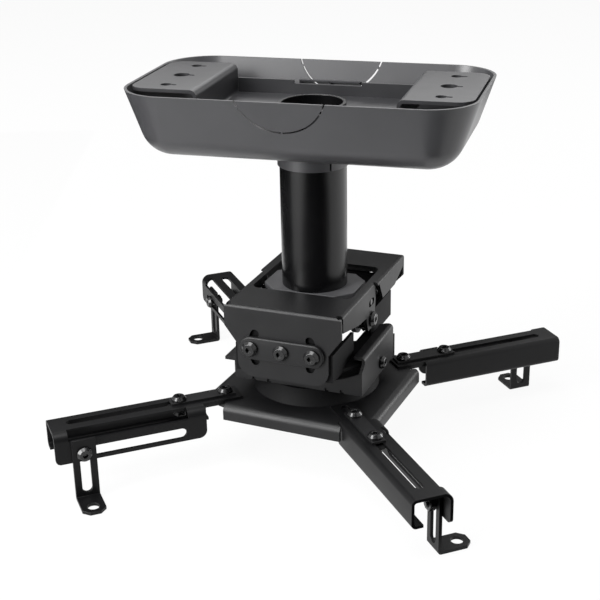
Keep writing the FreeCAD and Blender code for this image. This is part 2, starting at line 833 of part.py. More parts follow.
# Tilt bolts with their washers, nuts and guide pins, one set on each ear.
tilt_reach = frame_side - ear_in
tilt_bolt = button_bolt("tilt_bolt_pattern", s.tilt_bolt, s.tilt_head, s.tilt_head_height,
                        tilt_reach + s.tilt_tail)
right = {"y": ZERO, "axis": (0, 1, 0), "turn": QUARTER_TURN}
left = {"y": ZERO, "axis": (0, 1, 0), "turn": -QUARTER_TURN}
nodes.append(copies("tilt_bolts", tilt_bolt, [
    dict(right, x=frame_side, z=tilt_level),
    dict(left, x=-frame_side, z=tilt_level)], s.head_turn))
tilt_nut = hex_nut("tilt_nut_pattern", s.tilt_nut, s.tilt_bolt + s.hole_gap, s.tilt_nut_height)
nodes.append(copies("tilt_nuts", tilt_nut, [
    dict(right, x=ear_in, z=tilt_level),
    dict(left, x=-ear_in, z=tilt_level)], s.head_turn))
washer_thick = (frame_side - s.sheet - block_half) / s.tilt_washer_count
tilt_washer = washer("tilt_washer_pattern", s.tilt_washer, s.tilt_bolt + s.hole_gap * 2, washer_thick)
stack = []
for place in range(int(SIZES["tilt_washer_count"])):
    stack.append(dict(right, x=block_half + washer_thick * place, z=tilt_level))
    stack.append(dict(left, x=-(block_half + washer_thick * place), z=tilt_level))
nodes.append(copies("tilt_washers", tilt_washer, stack, s.head_turn))
tilt_pin = new_body("tilt_pin_pattern")
pin_face = sketch_on(tilt_pin, FLAT)
circle(pin_face, 0, 0, s.tilt_pin / 2)
pad(tilt_pin, pin_face, frame_side - block_half)
nodes.append(copies("tilt_pins", tilt_pin, [
    dict(right, x=block_half, z=tilt_level + s.tilt_pin_rise),
    dict(left, x=-block_half, z=tilt_level + s.tilt_pin_rise)], s.head_turn))

# Capsule plates on the outside of the frame's flanges, with three roll bolts each.
capsule = new_body("capsule_pattern")
face = sketch_on(capsule, FLAT)
capsule_end = (s.capsule_length - s.capsule_width) / 2
slot(face, -capsule_end, 0, capsule_end, 0, s.capsule_width / 2)
pad(capsule, face, s.capsule_steel)
round_edges(capsule, s.capsule_edge, {"z": s.capsule_steel})
bolt_holes = sketch_on(capsule, FLAT)
for place in (-1, 0, 1):
    circle(bolt_holes, s.roll_radius * place if place else 0, 0, s.roll_bolt / 2 + s.hole_gap)
pocket(capsule, bolt_holes)
front = {"axis": (1, 0, 0), "turn": QUARTER_TURN}
back = {"axis": (1, 0, 0), "turn": -QUARTER_TURN}
nodes.append(copies("capsule_plates", capsule, [
    dict(front, x=ZERO, y=-frame_end, z=roll_level),
    dict(back, x=ZERO, y=frame_rear, z=roll_level)], s.head_turn))
roll_seat = frame_end + s.capsule_steel
roll_inner = upright_face - s.sheet
roll_bolt = button_bolt("roll_bolt_pattern", s.roll_bolt, s.roll_head, s.roll_head_height,
                        roll_seat - roll_inner + s.roll_tail)
roll_nut = hex_nut("roll_nut_pattern", s.roll_nut, s.roll_bolt + s.hole_gap, s.roll_nut_height)
roll_places = []
nut_places = []
for place in (-1, 0, 1):
    across = s.roll_radius * place
    roll_places.append(dict(front, x=across, y=-roll_seat, z=roll_level))
    roll_places.append(dict(back, x=across, y=roll_seat + s.frame_rear_more, z=roll_level))
    nut_places.append(dict(front, x=across, y=-roll_inner, z=roll_level))
    nut_places.append(dict(back, x=across, y=roll_inner + s.frame_rear_more, z=roll_level))
nodes.append(copies("roll_bolts", roll_bolt, roll_places, s.head_turn))
nodes.append(copies("roll_nuts", roll_nut, nut_places, s.head_turn))

# Yoke: a folded sheet between the two flanges, with uprights behind them, ribs beside
# the uprights and a side flange on each side that the tray is bolted to.
yoke = new_body("yoke")
nodes.append(yoke)
yoke_rib = flange_half + s.sheet
yoke_side = tray_side - s.sheet
yoke_flat = s.yoke_side_length / 2
web = sketch_on(yoke, FLAT, yoke_web_top)
polygon(web, [
    (-yoke_rib, -upright_face), (yoke_rib, -upright_face), (yoke_rib, -s.yoke_waist),
    (yoke_side, -yoke_flat), (yoke_side, yoke_flat), (yoke_rib, s.yoke_waist),
    (yoke_rib, upright_rear), (-yoke_rib, upright_rear), (-yoke_rib, s.yoke_waist),
    (-yoke_side, yoke_flat), (-yoke_side, -yoke_flat), (-yoke_rib, -s.yoke_waist)])
pad(yoke, web, s.sheet, towards=-1)
for end, face in ((-1, upright_face), (1, upright_rear)):
    upright = sketch_on(yoke, FRONT, face * end)
    rectangle(upright, -flange_half, flange_half, yoke_web_under, roll_level + s.upright_rise)
    pad(yoke, upright, s.sheet, towards=-end)
for side in (-1, 1):
    drop = sketch_on(yoke, SIDE, yoke_side * side)
    rectangle(drop, -yoke_flat, yoke_flat, yoke_web_top - s.yoke_side_depth, yoke_web_top)
    pad(yoke, drop, s.sheet, towards=-side)
    for end, face in ((-1, upright_face), (1, upright_rear)):
        rib = sketch_on(yoke, SIDE, yoke_rib * side)
        rectangle(rib, s.yoke_rib_reach * end, face * end, yoke_web_under,
                  yoke_web_top + s.yoke_rib_rise)
        pad(yoke, rib, s.sheet, towards=-side)
upright_top = roll_level + s.upright_rise
round_edges(yoke, s.upright_corner,
            {"x": flange_half, "z": upright_top}, {"x": -flange_half, "z": upright_top})
round_edges(yoke, s.bend, {"x": yoke_side, "z": yoke_web_top}, {"x": -yoke_side, "z": yoke_web_top})
web_window = sketch_on(yoke, FLAT, yoke_web_top)
rounded_rectangle(web_window, s.yoke_window_width / 2, s.yoke_window_length / 2, s.yoke_window_corner)
pocket(yoke, web_window, s.sheet * 2)
yoke_holes = sketch_on(yoke, FRONT)
for place in (-1, 0, 1):
    circle(yoke_holes, s.roll_radius * place if place else 0, roll_level, s.roll_bolt / 2 + s.hole_gap)
pocket(yoke, yoke_holes)
side_level = tray_floor + s.roll_nut / root(as_size(3)) + s.running_gap
yoke_side_holes = sketch_on(yoke, SIDE)
circle(yoke_side_holes, s.side_bolt_y, side_level, s.roll_bolt / 2 + s.hole_gap)
pocket(yoke, yoke_side_holes)
placed(yoke, turn=s.head_turn)

# Tray: a folded sheet with scooped ends, a tall right wall with a lip folded in and a
# low left wall with a lip folded out.
tray = new_body("lower_bracket")
nodes.append(tray)
floor = sketch_on(tray, FLAT, tray_under)
rectangle(floor, -tray_side, tray_side, -tray_end, tray_end)
pad(tray, floor, s.sheet)
for end in (-1, 1):
    end_wall = sketch_on(tray, FRONT, tray_end * end)
    rectangle(end_wall, -tray_side, tray_side, tray_under, tray_under + s.tray_rim)
    pad(tray, end_wall, s.sheet, towards=-end)
scoop = sketch_on(tray, FRONT)
circle(scoop, 0, tray_under + s.scoop_floor + s.scoop_radius, s.scoop_radius)
pocket(tray, scoop)
right_top = tray_under + s.right_wall_height
right_wall = sketch_on(tray, SIDE, tray_side)
polygon(right_wall, [
    (-tray_end, tray_under), (-tray_end, tray_under + s.tray_rim),
    (-s.right_wall_front, tray_under + s.right_wall_shoulder), (-s.right_wall_front, right_top),
    (s.right_wall_rear, right_top), (s.right_wall_rear, tray_under)])
pad(tray, right_wall, s.sheet, towards=-1)
right_lip = sketch_on(tray, FLAT, right_top)
rectangle(right_lip, tray_side - s.right_lip, tray_side,
          s.right_lip_inset - s.right_wall_rear, s.right_wall_rear)
pad(tray, right_lip, s.sheet, towards=-1)
left_top = tray_under + s.left_wall_height
left_wall = sketch_on(tray, SIDE, -tray_side)
rectangle(left_wall, -tray_end, s.right_wall_rear, tray_under, left_top)
pad(tray, left_wall, s.sheet)
left_lip = sketch_on(tray, FLAT, left_top)
rectangle(left_lip, s.sheet - tray_side - s.left_lip, s.sheet - tray_side, -tray_end, s.right_wall_rear)
pad(tray, left_lip, s.sheet, towards=-1)
round_edges(tray, s.right_bend, {"x": tray_side, "z": right_top})
round_edges(tray, s.right_corner, {"x": tray_side - s.right_lip, "y": s.right_wall_rear})
tray_hole = sketch_on(tray, FLAT)
circle(tray_hole, 0, 0, s.swivel_bolt / 2 + s.hole_gap)
pocket(tray, tray_hole)
notches = sketch_on(tray, FLAT, tray_under)
for side in (-1, 1):
    for near in (s.tray_notch_near, s.tray_notch_far):
        rectangle(notches, near * side - s.tray_notch / 2, near * side + s.tray_notch / 2,
                  -tray_end - s.sheet, s.tray_notch_depth - tray_end)
pocket(tray, notches, s.sheet, towards=1)
tray_sides = sketch_on(tray, SIDE)
circle(tray_sides, s.side_bolt_y, side_level, s.roll_bolt / 2 + s.hole_gap)
pocket(tray, tray_sides)
placed(tray, turn=s.head_turn)

# Bolts and nuts that hold the tray to the yoke.
side_bolt = button_bolt("side_bolt_pattern", s.roll_bolt, s.side_head, s.side_head_height,
                        s.sheet * 2 + s.roll_tail)
nodes.append(copies("side_bolts", side_bolt, [
    dict(right, x=tray_side, y=s.side_bolt_y, z=side_level),
    dict(left, x=-tray_side, y=s.side_bolt_y, z=side_level)], s.head_turn))
side_seat = yoke_side - s.sheet
nodes.append(copies("side_nuts", roll_nut, [
    dict(right, x=side_seat, y=s.side_bolt_y, z=side_level),
    dict(left, x=-side_seat, y=s.side_bolt_y, z=side_level)], s.head_turn))

# Swivel: a conical disc between the tray and the hub, turned on one large bolt.
disc = new_body("swivel_disc")
nodes.append(disc)
cone = sketch_on(disc, FRONT)
swivel_hole = s.swivel_bolt / 2 + s.running_gap
polygon(cone, [(swivel_hole, hub_top), (s.disc_bottom / 2, hub_top), (s.disc_top / 2, tray_under),
               (swivel_hole, tray_under)])
revolve(disc, cone)
swivel_bolt = new_body("swivel_bolt")
nodes.append(swivel_bolt)
shank = sketch_on(swivel_bolt, FLAT, tray_floor)
circle(shank, 0, 0, s.swivel_bolt / 2)
pad(swivel_bolt, shank, tray_floor - hub_under + s.swivel_tail, towards=-1)
head = sketch_on(swivel_bolt, FLAT, tray_floor)
hexagon(head, s.swivel_head)
pad(swivel_bolt, head, s.swivel_head_height)
placed(swivel_bolt, turn=s.head_turn)
swivel_nut = hex_nut("swivel_nut_pattern", s.swivel_head, s.swivel_bolt + s.hole_gap, s.swivel_nut_height)
nodes.append(copies("swivel_nut", swivel_nut, [{"z": hub_under}], s.head_turn))

# Hub plate: a square with folded flanges and a round-ended ear along each diagonal.
hub = new_body("hub_plate")
nodes.append(hub)
hub_half = s.hub_width / 2
hub_run = s.hub_flange_length / 2
hub_step = hub_half - s.hub_bend - s.hub_notch_gap
plan = sketch_on(hub, FLAT, hub_top)
polygon(plan, [
    (hub_half, -hub_run), (hub_half, hub_run), (hub_step, hub_run), (hub_run, hub_step),
    (hub_run, hub_half), (-hub_run, hub_half), (-hub_run, hub_step), (-hub_step, hub_run),
    (-hub_half, hub_run), (-hub_half, -hub_run), (-hub_step, -hub_run), (-hub_run, -hub_step),
    (-hub_run, -hub_half), (hub_run, -hub_half), (hub_run, -hub_step), (hub_step, -hub_run)])
pad(hub, plan, s.sheet, towards=-1)
for side in (-1, 1):
    fold = sketch_on(hub, SIDE, hub_half * side)
    rectangle(fold, -hub_run, hub_run, hub_top - s.hub_flange_depth, hub_top)
    pad(hub, fold, s.sheet, towards=-side)
    fold = sketch_on(hub, FRONT, hub_half * side)
    rectangle(fold, -hub_run, hub_run, hub_top - s.hub_flange_depth, hub_top)
    pad(hub, fold, s.sheet, towards=-side)
round_edges(hub, s.hub_bend, {"x": hub_half, "z": hub_top}, {"x": -hub_half, "z": hub_top},
            {"y": hub_half, "z": hub_top}, {"y": -hub_half, "z": hub_top})
hub_inner = hub_half - s.sheet
round_edges(hub, s.hub_bend - s.sheet, {"x": hub_inner, "z": hub_under}, {"x": -hub_inner, "z": hub_under},
            {"y": hub_inner, "z": hub_under}, {"y": -hub_inner, "z": hub_under})
ear_half = s.arm_slot_side - s.arm_bend - s.running_gap
ear_tip = s.ear_reach - ear_half
DIAGONALS = {}
for corner, way in enumerate(("front_left", "front_right", "rear_right", "rear_left")):
    DIAGONALS[way] = HALF_TURN + QUARTER_TURN / 2 + QUARTER_TURN * corner
for way, angle in DIAGONALS.items():
    along_x = cosine(angle)
    along_y = sine(angle)
    ear = sketch_on(hub, FLAT, hub_top)
    slot(ear, s.hub_notch / 2 * along_x, s.hub_notch / 2 * along_y, ear_tip * along_x, ear_tip * along_y,
         ear_half)
    pad(hub, ear, s.sheet, towards=-1)
hub_holes = sketch_on(hub, FLAT)
circle(hub_holes, 0, 0, swivel_hole)
for angle in DIAGONALS.values():
    for out in (s.arm_bolt_near, s.arm_bolt_far):
        circle(hub_holes, out * cosine(angle), out * sine(angle),
               s.arm_bolt / 2 + s.hole_gap)
pocket(hub, hub_holes)
# A notch beside each ear lets the arm's wall pass down through the plate.
wall_notches = sketch_on(hub, FLAT)
wall_outer = s.arm_slot_side + s.hub_notch_gap
for angle in DIAGONALS.values():
    along_x = cosine(angle)
    along_y = sine(angle)
    polygon(wall_notches, [
        (s.hub_notch * along_x + ear_half * along_y, s.hub_notch * along_y - ear_half * along_x),
        (s.hub_notch * along_x + wall_outer * along_y, s.hub_notch * along_y - wall_outer * along_x),
        (s.hub_width * along_x + wall_outer * along_y, s.hub_width * along_y - wall_outer * along_x),
        (s.hub_width * along_x + ear_half * along_y, s.hub_width * along_y - ear_half * along_x)])
pocket(hub, wall_notches)
placed(hub, turn=s.hub_turn)

# Clamp strips on the arms' tongues, with the two bolts and nuts that hold each arm.
strip = new_body("strip_pattern")
strip_plan = sketch_on(strip, FLAT)
strip_half = s.strip_width / 2
rectangle(strip_plan, s.arm_bolt_near - s.strip_end, s.arm_bolt_far + s.strip_end, -strip_half, strip_half)
for out in (s.arm_bolt_near, s.arm_bolt_far):
    circle(strip_plan, out, 0, s.arm_bolt / 2 + s.hole_gap)
pad(strip, strip_plan, s.strip_sheet)
nodes.append(copies("clamp_strips", strip, [
    {"z": arm_top, "turn": angle} for angle in DIAGONALS.values()], s.hub_turn))
arm_bolt = button_bolt("arm_bolt_pattern", s.arm_bolt, s.arm_bolt_head, s.arm_bolt_head_height,
                       strip_top - hub_under + s.arm_bolt_tail)
bolt_places = []
nut_places = []
for angle in DIAGONALS.values():
    for out in (s.arm_bolt_near, s.arm_bolt_far):
        across = out * cosine(angle)
        along = out * sine(angle)
        bolt_places.append({"x": across, "y": along, "z": strip_top, "turn": angle})
        nut_places.append({"x": across, "y": along, "z": hub_under, "turn": angle})
nodes.append(copies("arm_bolts", arm_bolt, bolt_places, s.hub_turn))
nodes.append(copies("arm_nuts", roll_nut, nut_places, s.hub_turn))

# Arm: a folded channel. Its outer end lies at the origin and it runs back along -X. The
# top has a long slot, and the rail on the +Y side a slot and a window along its bend.
arm = new_body("arm_pattern")
low_left = arm_top - s.arm_left_depth
low_rail = arm_top - s.arm_rail_depth
arm_under = arm_top - s.arm_sheet
outside = s.arm_slot_side
inside = outside - s.arm_sheet
rail = s.arm_rail_side
rail_in = rail - s.arm_sheet
profile = sketch_on(arm, SIDE)
polygon(profile, [
    (s.arm_left_foot - outside, low_left), (-outside, low_left), (-outside, arm_top), (rail, arm_top),
    (rail, low_rail), (rail_in, low_rail), (rail_in, arm_under), (-inside, arm_under),
    (-inside, low_left + s.arm_sheet), (s.arm_left_foot - outside, low_left + s.arm_sheet)])
arm_wall = s.arm_rail_length + s.arm_wall_more
arm_length = arm_wall + s.arm_tongue
pad(arm, profile, arm_wall, towards=-1)
round_edges(arm, s.arm_bend, {"y": -outside, "z": low_left}, {"y": -outside, "z": arm_top})
round_edges(arm, s.rail_bend, {"y": rail, "z": arm_top})
round_edges(arm, s.arm_bend - s.arm_sheet, {"y": -inside, "z": low_left + s.arm_sheet},
            {"y": -inside, "z": arm_under})
round_edges(arm, s.rail_bend - s.arm_sheet, {"y": rail_in, "z": arm_under})
tongue = sketch_on(arm, FLAT, arm_top)
tongue_half = s.tongue_width / 2
rectangle(tongue, -arm_length, s.arm_sheet - arm_wall, -tongue_half, tongue_half)
pad(arm, tongue, s.arm_sheet, towards=-1)
shorten = sketch_on(arm, FRONT, rail + s.arm_sheet)
rectangle(shorten, -arm_wall - s.arm_sheet, -s.arm_rail_length, low_rail - s.arm_sheet,
          arm_top + s.arm_sheet)
pocket(arm, shorten, rail + s.arm_sheet - tongue_half)
round_edges(arm, s.rail_inner_corner, {"x": -s.arm_rail_length, "z": low_rail})
round_edges(arm, s.rail_outer_corner, {"x": 0, "z": low_rail})
long_slot = sketch_on(arm, FLAT)
arm_slot_half = s.arm_slot_width / 2
slot(long_slot, s.arm_slot_bridge + arm_slot_half - arm_length, 0, -s.arm_slot_start - arm_slot_half, 0,
     arm_slot_half)
pocket(arm, long_slot)
rail_slot = sketch_on(arm, FRONT, rail + s.arm_sheet)
rail_half = s.rail_slot_width / 2
slot(rail_slot, s.rail_slot_inner + rail_half - s.arm_rail_length, screw_level,
     -s.rail_slot_start - rail_half, screw_level, rail_half)
pocket(arm, rail_slot, s.arm_sheet * 3)
window = sketch_on(arm, FRONT, rail + s.arm_sheet)
rectangle(window, s.window_inner_tab - s.arm_rail_length, -s.window_start, arm_top - s.rail_bend,
          arm_top + s.arm_sheet)
pocket(arm, window, s.window_inset + s.arm_sheet)

# Foot: an L-shaped bracket. Its screw axis lies at the origin, its plate behind the
# X-Z plane, and its tab points along +Y with a hole for the projector's screw.
foot = new_body("foot_pattern")
foot_half = s.foot_width / 2
upright = sketch_on(foot, FRONT)
rectangle(upright, -foot_half, foot_half, -s.foot_drop, s.foot_rise)
pad(foot, upright, s.sheet, towards=-1)
tab = sketch_on(foot, FLAT, -s.foot_drop)
polygon(tab, [
    (-foot_half, -s.sheet), (foot_half, -s.sheet), (foot_half, s.foot_tab - s.foot_clip),
    (foot_half - s.foot_clip, s.foot_tab), (s.foot_clip - foot_half, s.foot_tab),
    (-foot_half, s.foot_tab - s.foot_clip)])
pad(foot, tab, s.sheet)
round_edges(foot, s.bend, {"y": -s.sheet, "z": -s.foot_drop})
foot_slot = sketch_on(foot, FRONT)
foot_slot_half = s.foot_slot_width / 2
slot(foot_slot, 0, foot_slot_half - s.foot_slot_length, 0, 0, foot_slot_half)
pocket(foot, foot_slot)
foot_holes = sketch_on(foot, FLAT, -s.foot_drop)
circle(foot_holes, 0, s.foot_hole_out, s.foot_hole / 2)
pocket(foot, foot_holes, s.sheet * 2, towards=1)

# Each arm with its foot, screw and nut. The foot of the front left arm stands outside
# the rail, and the other three stand inside it.
grip = s.arm_sheet + s.sheet
foot_screw = button_bolt("foot_screw_pattern", s.foot_screw, s.foot_screw_head, s.foot_screw_head_height,
                         grip + s.foot_screw_tail)
for way, angle in DIAGONALS.items():
    reach = s.disc_bottom / 2 + getattr(s, "draw_" + way) + arm_length
    stand = reach - getattr(s, "foot_" + way)
    heading = s.hub_turn + angle
    outer = way == "front_left"
    foot_face = rail + s.sheet if outer else rail_in
    head_face = foot_face if outer else rail
    nodes.append(copies("arm_" + way, arm, [{"x": reach}], heading))
    nodes.append(copies("foot_" + way, foot, [{"x": stand, "y": foot_face, "z": screw_level}], heading))
    nodes.append(copies("foot_screw_" + way, foot_screw, [
        dict(back, x=stand, y=head_face, z=screw_level)], heading))
    nodes.append(copies("foot_nut_" + way, roll_nut, [
        dict(back, x=stand, y=head_face - grip, z=screw_level)], heading))

doc.recompute()
failed = [item.Label for item in doc.Objects if "Invalid" in item.State or "Error" in item.State]
if failed:
    raise RuntimeError("failed objects: " + ", ".join(failed))
for node in nodes:
    if node.Shape.isNull() or not node.Shape.isValid() or not node.Shape.Solids:
        raise RuntimeError("no sound shape for " + node.Label)
os.makedirs("parts", exist_ok=True)
for node in nodes:
    node.Shape.exportStep("parts/%s.step" % node.Label)
    box = node.Shape.BoundBox
    print("%-24s solids %2d  volume %9.1f  x %7.1f %7.1f  y %7.1f %7.1f  z %7.1f %7.1f" % (
        node.Label, len(node.Shape.Solids), node.Shape.Volume, box.XMin, box.XMax,
        box.YMin, box.YMax, box.ZMin, box.ZMax))
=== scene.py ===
import json
import math

import bmesh
import bpy
from mathutils import Matrix, Vector


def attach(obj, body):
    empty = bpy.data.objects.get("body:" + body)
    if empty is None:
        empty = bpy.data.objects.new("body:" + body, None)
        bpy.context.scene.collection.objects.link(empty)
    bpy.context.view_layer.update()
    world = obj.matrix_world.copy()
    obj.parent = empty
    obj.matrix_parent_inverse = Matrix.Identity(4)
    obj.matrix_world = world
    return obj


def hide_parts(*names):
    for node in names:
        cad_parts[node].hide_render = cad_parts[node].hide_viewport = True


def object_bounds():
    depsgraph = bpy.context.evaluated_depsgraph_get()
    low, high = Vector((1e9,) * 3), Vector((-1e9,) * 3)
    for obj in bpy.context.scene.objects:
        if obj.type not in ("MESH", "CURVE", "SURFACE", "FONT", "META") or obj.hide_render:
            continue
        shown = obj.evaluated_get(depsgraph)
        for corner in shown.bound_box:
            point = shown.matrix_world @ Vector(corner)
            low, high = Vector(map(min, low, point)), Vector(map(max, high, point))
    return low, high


# A ceiling mount for a projector: moulded cover, pole, tilting head, swivelling hub, arms and feet.
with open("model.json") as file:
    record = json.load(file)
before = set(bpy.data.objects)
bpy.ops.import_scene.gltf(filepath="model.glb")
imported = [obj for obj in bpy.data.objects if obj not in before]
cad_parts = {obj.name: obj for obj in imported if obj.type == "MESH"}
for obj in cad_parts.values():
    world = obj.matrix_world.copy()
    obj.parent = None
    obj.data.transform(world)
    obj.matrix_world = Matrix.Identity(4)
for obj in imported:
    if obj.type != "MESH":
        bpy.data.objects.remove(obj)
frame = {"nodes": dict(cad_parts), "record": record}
cad_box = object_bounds()
scene = bpy.context.scene
MM = 0.001


def linear(code):
    """Turns an sRGB hex colour into linear RGBA."""
    parts = [int(code[i:i + 2], 16) / 255 for i in (1, 3, 5)]
    return [c / 12.92 if c <= 0.04045 else ((c + 0.055) / 1.055) ** 2.4 for c in parts] + [1.0]


def add(tree, kind, inputs=None, **settings):
    """Adds one node, sets its properties, and fills or links its inputs."""
    node = tree.nodes.new(kind)
    for name, value in settings.items():
        setattr(node, name, value)
    for name, value in (inputs or {}).items():
        several = isinstance(value, list) and isinstance(value[0], bpy.types.NodeSocket)
        for one in value if several else [value]:
            if isinstance(one, bpy.types.NodeSocket):
                tree.links.new(one, node.inputs[name])
            else:
                node.inputs[name].default_value = one
    return node


def new_material(name):
    material = bpy.data.materials.new(name)
    material.use_nodes = True
    material.node_tree.nodes.clear()
    return material, material.node_tree


def seen_as_background(tree):
    """1 for what the camera, gloss and glass see directly, 0 for light that falls on the object."""
    rays = add(tree, "ShaderNodeLightPath")
    seen = add(tree, "ShaderNodeMath", {
        0: rays.outputs["Is Camera Ray"], 1: rays.outputs["Is Glossy Ray"]}, operation="MAXIMUM")
    return add(tree, "ShaderNodeMath", {
        0: seen.outputs["Value"], 1: rays.outputs["Is Transmission Ray"]}, operation="MAXIMUM")


def coated(name, dark, light, rough, peel_mm, peel_height_mm, patch_mm, specular):
    """A painted or moulded skin: a slightly uneven colour, patchy gloss and a fine raised grain."""
    material, tree = new_material(name)
    place = add(tree, "ShaderNodeTexCoord").outputs["Object"]
    patches = add(tree, "ShaderNodeTexNoise", {
        "Vector": place, "Scale": 1 / (patch_mm * MM), "Detail": 3.0, "Roughness": 0.55})
    grain = add(tree, "ShaderNodeTexNoise", {
        "Vector": place, "Scale": 1 / (peel_mm * MM), "Detail": 2.0, "Roughness": 0.5})
    tone = add(tree, "ShaderNodeValToRGB", {"Fac": patches.outputs["Fac"]})
    tone.color_ramp.elements[0].position = 0.35
    tone.color_ramp.elements[0].color = linear(dark)
    tone.color_ramp.elements[1].position = 0.65
    tone.color_ramp.elements[1].color = linear(light)
    gloss = add(tree, "ShaderNodeMapRange", {
        "Value": patches.outputs["Fac"], "From Min": 0.3, "From Max": 0.7,
        "To Min": rough - 0.04, "To Max": rough + 0.04})
    raised = add(tree, "ShaderNodeBump", {
        "Height": grain.outputs["Fac"], "Strength": 0.35, "Distance": peel_height_mm * MM})
    skin = add(tree, "ShaderNodeBsdfPrincipled", {
        "Base Color": tone.outputs["Color"], "Roughness": gloss.outputs["Result"],
        "Normal": raised.outputs["Normal"], "IOR": 1.5, "Specular IOR Level": specular})
    add(tree, "ShaderNodeOutputMaterial", {"Surface": skin.outputs["BSDF"]})
    return material


# Polyester powder coat on folded steel: a satin black skin with faint orange peel. The peel is about
# 0.5 mm on the real sheet and is drawn at 1.6 mm so that it shows.
powder_coat = coated("satin_black_powder_coat", "#111112", "#151516", 0.42, 1.6, 0.05, 40, 0.3)
# The ceiling plate's coat is a paler charcoal with more sheen: its flat tops mirror the pale room.
plate_coat = coated("charcoal_powder_coat", "#2d2d2f", "#333335", 0.36, 1.6, 0.04, 50, 0.5)
# The tube's coat is smoother, so it shows one long soft highlight down each side.
tube_coat = coated("tube_black_powder_coat", "#080809", "#0b0b0c", 0.26, 2.0, 0.03, 60, 0.42)
# The arms and feet carry a deeper black coat with less sheen than the head.
arm_coat = coated("deep_black_powder_coat", "#0a0a0b", "#0d0d0e", 0.42, 1.6, 0.05, 40, 0.2)
# The inner yoke and the swivel disc get a matt black coat whose base colour is darker than the head's: the
# darker colour is painted shade for the shadow between the plates.
plates_shade_coat = coated("matt_black_painted_shade", "#080809", "#0b0b0c", 0.62, 1.4, 0.04, 40, 0.12)
# The block welded into the pole's foot keeps a paler grey phosphate skin.
phosphate = coated("grey_phosphated_steel", "#474749", "#525254", 0.55, 0.9, 0.04, 14, 0.4)
# Moulded ABS with a fine spark-eroded grain: a satin charcoal skin with a soft, broad sheen.
moulded_abs = coated("charcoal_grained_abs", "#3a3a3c", "#3f3f41", 0.33, 1.2, 0.03, 70, 0.5)
# Black-oxide steel: as dark as the coat and glossier, as on socket screws.
black_oxide = coated("black_oxide_steel", "#0d0d0e", "#121213", 0.22, 1.0, 0.02, 12, 0.55)

FASTENERS = [name for name in frame["nodes"] if any(
    word in name for word in ("bolt", "nut", "screw", "washer", "pin"))]
BODY_OF = {node: body for body, members in frame["record"]["behaviour"]["bodies"].items()
           for node in members}

SMOOTH_BELOW = math.radians(32)
BEVEL_ABOVE = math.radians(40)
FLAT_WITHIN = math.radians(0.5)
SHEET_EDGE, TUBE_EDGE, BOLT_EDGE = 0.35, 0.3, 0.25

# Bolts with a threaded tail: radius, pitch and the length that stands out of the nut, in mm.
THREADS = {"tilt_bolts": (4.0, 1.25, 2.0), "roll_bolts": (3.0, 1.0, 1.5), "side_bolts": (3.0, 1.0, 1.5),
           "arm_bolts": (3.0, 1.0, 1.5), "swivel_bolt": (6.0, 1.75, 2.0)}
for node in frame["nodes"]:
    if node.startswith("foot_screw_"):
        THREADS[node] = (3.0, 1.0, 1.5)


def draw_in_tails(work, radius, length):
    """Draws the round end of each bolt back into its nut, and returns where it now is and its direction."""
    seats = []
    for face in work.faces:
        middle_of = face.calc_center_median()
        spans = [(corner.co - middle_of).length for corner in face.verts]
        if len(spans) > 8 and max(spans) - min(spans) < 1e-5 and abs(max(spans) - radius) < 1e-4:
            seats.append((middle_of - face.normal * length, face.normal.copy()))
            for corner in face.verts:
                corner.co -= face.normal * length
    return seats


def finish_node(node, material, edge_mm):
    """A finished copy of a CAD node: smooth round faces, and eased edges that catch the light."""
    mesh = frame["nodes"][node].data.copy()
    mesh.name = "finished_" + node
    work = bmesh.new()
    work.from_mesh(mesh)
    bmesh.ops.remove_doubles(work, verts=work.verts, dist=1e-6)
    bmesh.ops.dissolve_limit(work, angle_limit=FLAT_WITHIN, verts=work.verts, edges=work.edges)
    if node in THREADS:
        radius, _, length = (size * MM for size in THREADS[node])
        thread_seats[node] = draw_in_tails(work, radius, length)
    for face in work.faces:
        face.smooth = True
    for edge in work.edges:
        edge.smooth = edge.calc_face_angle(0) < SMOOTH_BELOW
    work.to_mesh(mesh)
    work.free()
    mesh.materials.clear()
    mesh.materials.append(material)
    piece = bpy.data.objects.new("finished_" + node, mesh)
    scene.collection.objects.link(piece)
    bevel = piece.modifiers.new("edge", "BEVEL")
    bevel.width = edge_mm * MM
    bevel.segments = 2
    bevel.limit_method = "ANGLE"
    bevel.angle_limit = BEVEL_ABOVE
    bevel.harden_normals = False
    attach(piece, BODY_OF[node])
    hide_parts(node)
    return piece


thread_seats = {}
for node in sorted(frame["nodes"]):
    if node == "ceiling_cover":
        finish_node(node, moulded_abs, TUBE_EDGE)
    elif node == "ceiling_plate":
        finish_node(node, plate_coat, SHEET_EDGE)
    # The yoke and the swivel disc take the coat darkened as painted shade.
    elif node in ("yoke", "swivel_disc"):
        finish_node(node, plates_shade_coat, SHEET_EDGE)
    elif node == "pole_block":
        finish_node(node, phosphate, SHEET_EDGE)
    elif node == "pole":
        finish_node(node, tube_coat, TUBE_EDGE)
    elif node in FASTENERS:
        finish_node(node, black_oxide, BOLT_EDGE)
    elif node.startswith(("arm_", "foot_")):
        finish_node(node, arm_coat, SHEET_EDGE)
    else:
        finish_node(node, powder_coat, SHEET_EDGE)


def new_tree(name, sizes):
    """An empty Geometry Nodes tree with named size inputs, a finish and one geometry output."""
    tree = bpy.data.node_groups.new(name, "GeometryNodeTree")
    tree.interface.new_socket("Seats", in_out="INPUT", socket_type="NodeSocketGeometry")
    for label, kind in sizes.items():
        tree.interface.new_socket(label, in_out="INPUT", socket_type=kind)
    tree.interface.new_socket("Finish", in_out="INPUT", socket_type="NodeSocketMaterial")
    tree.interface.new_socket("Piece", in_out="OUTPUT", socket_type="NodeSocketGeometry")
    return tree, add(tree, "NodeGroupInput").outputs


def close_tree(tree, geometry, finish):
    solid = add(tree, "GeometryNodeRealizeInstances", {"Geometry": geometry})
    painted = add(tree, "GeometryNodeSetMaterial", {"Geometry": solid.outputs[0], "Material": finish})
    add(tree, "NodeGroupOutput", {"Piece": painted.outputs[0]})


